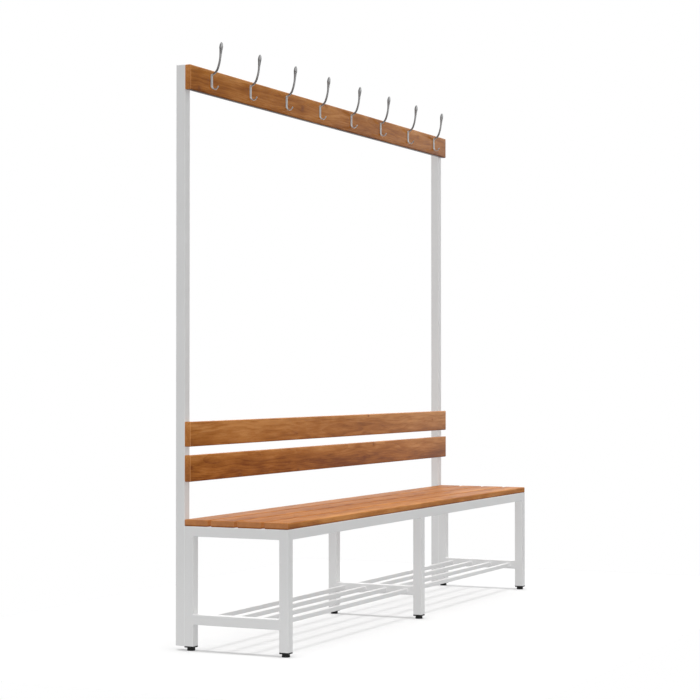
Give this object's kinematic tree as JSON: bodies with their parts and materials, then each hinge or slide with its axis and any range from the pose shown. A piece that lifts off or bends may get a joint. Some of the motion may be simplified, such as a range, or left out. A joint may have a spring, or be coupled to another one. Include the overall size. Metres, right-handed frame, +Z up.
{
  "type": "cloakroom bench",
  "caption": "Single-sided cloakroom bench: wooden slat seat and backrest on a square-tube steel frame, with tall uprights, a rail of double coat hooks, a shoe rack and levelling feet.",
  "frame": {"origin": "floor level, at the centre of the bench's length and depth", "axes": "+X along the bench to the right of a person facing it, -Y towards that person, +Z up"},
  "size_m": [2, 0.3824, 1.8363],
  "materials": {
    "powder_coat": "light grey powder coat, satin, on square steel tube",
    "wood": "clear satin lacquer on warm brown alder with grain and small knots",
    "hook_metal": "bright plated metal",
    "black_plastic": "fine moulded texture",
    "zinc_steel": "bright zinc plating",
    "grey_plastic": "grey moulded plastic matched to the frame"
  },
  "bodies": {
    "bench": {"back_board_screws": "zinc_steel", "foot_inserts": "black_plastic", "front_left_seat_rail": "powder_coat", "front_right_seat_rail": "powder_coat", "hook_1": "hook_metal", "hook_2": "hook_metal", "hook_3": "hook_metal", "hook_4": "hook_metal", "hook_5": "hook_metal", "hook_6": "hook_metal", "hook_7": "hook_metal", "hook_8": "hook_metal", "hook_rail": "wood", "hook_screws": "hook_metal", "left_front_leg": "powder_coat", "left_rear_leg": "powder_coat", "left_seat_crossbar": "powder_coat", "left_shoe_bar_1": "powder_coat", "left_shoe_bar_2": "powder_coat", "left_shoe_bar_3": "powder_coat", "left_shoe_bar_4": "powder_coat", "left_shoe_crossbar": "powder_coat", "left_upright": "powder_coat", "lower_backrest_slat": "wood", "middle_front_leg": "powder_coat", "middle_rear_leg": "powder_coat", "middle_seat_crossbar": "powder_coat", "middle_shoe_crossbar": "powder_coat", "rear_left_seat_rail": "powder_coat", "rear_right_seat_rail": "powder_coat", "right_front_leg": "powder_coat", "right_rear_leg": "powder_coat", "right_seat_crossbar": "powder_coat", "right_shoe_bar_1": "powder_coat", "right_shoe_bar_2": "powder_coat", "right_shoe_bar_3": "powder_coat", "right_shoe_bar_4": "powder_coat", "right_shoe_crossbar": "powder_coat", "right_upright": "powder_coat", "seat_screws": "zinc_steel", "seat_slat_1": "wood", "seat_slat_2": "wood", "seat_slat_3": "wood", "seat_slat_4": "wood", "upper_backrest_slat": "wood", "upright_bolts": "zinc_steel", "upright_caps": "grey_plastic", "upright_nuts": "zinc_steel"},
    "left_front_foot": {"left_front_foot_pad": "black_plastic", "left_front_foot_stud": "zinc_steel"},
    "left_rear_foot": {"left_rear_foot_pad": "black_plastic", "left_rear_foot_stud": "zinc_steel"},
    "middle_front_foot": {"middle_front_foot_pad": "black_plastic", "middle_front_foot_stud": "zinc_steel"},
    "middle_rear_foot": {"middle_rear_foot_pad": "black_plastic", "middle_rear_foot_stud": "zinc_steel"},
    "right_front_foot": {"right_front_foot_pad": "black_plastic", "right_front_foot_stud": "zinc_steel"},
    "right_rear_foot": {"right_rear_foot_pad": "black_plastic", "right_rear_foot_stud": "zinc_steel"}
  },
  "joints": [
    {"name": "left_front_foot_height", "type": "slide", "parent": "bench", "child": "left_front_foot", "axis": [0, 0, -1], "range_m": [0, 0.012]},
    {"name": "left_rear_foot_height", "type": "slide", "parent": "bench", "child": "left_rear_foot", "axis": [0, 0, -1], "range_m": [0, 0.012]},
    {"name": "middle_front_foot_height", "type": "slide", "parent": "bench", "child": "middle_front_foot", "axis": [0, 0, -1], "range_m": [0, 0.012]},
    {"name": "middle_rear_foot_height", "type": "slide", "parent": "bench", "child": "middle_rear_foot", "axis": [0, 0, -1], "range_m": [0, 0.012]},
    {"name": "right_front_foot_height", "type": "slide", "parent": "bench", "child": "right_front_foot", "axis": [0, 0, -1], "range_m": [0, 0.012]},
    {"name": "right_rear_foot_height", "type": "slide", "parent": "bench", "child": "right_rear_foot", "axis": [0, 0, -1], "range_m": [0, 0.012]}
  ]
}
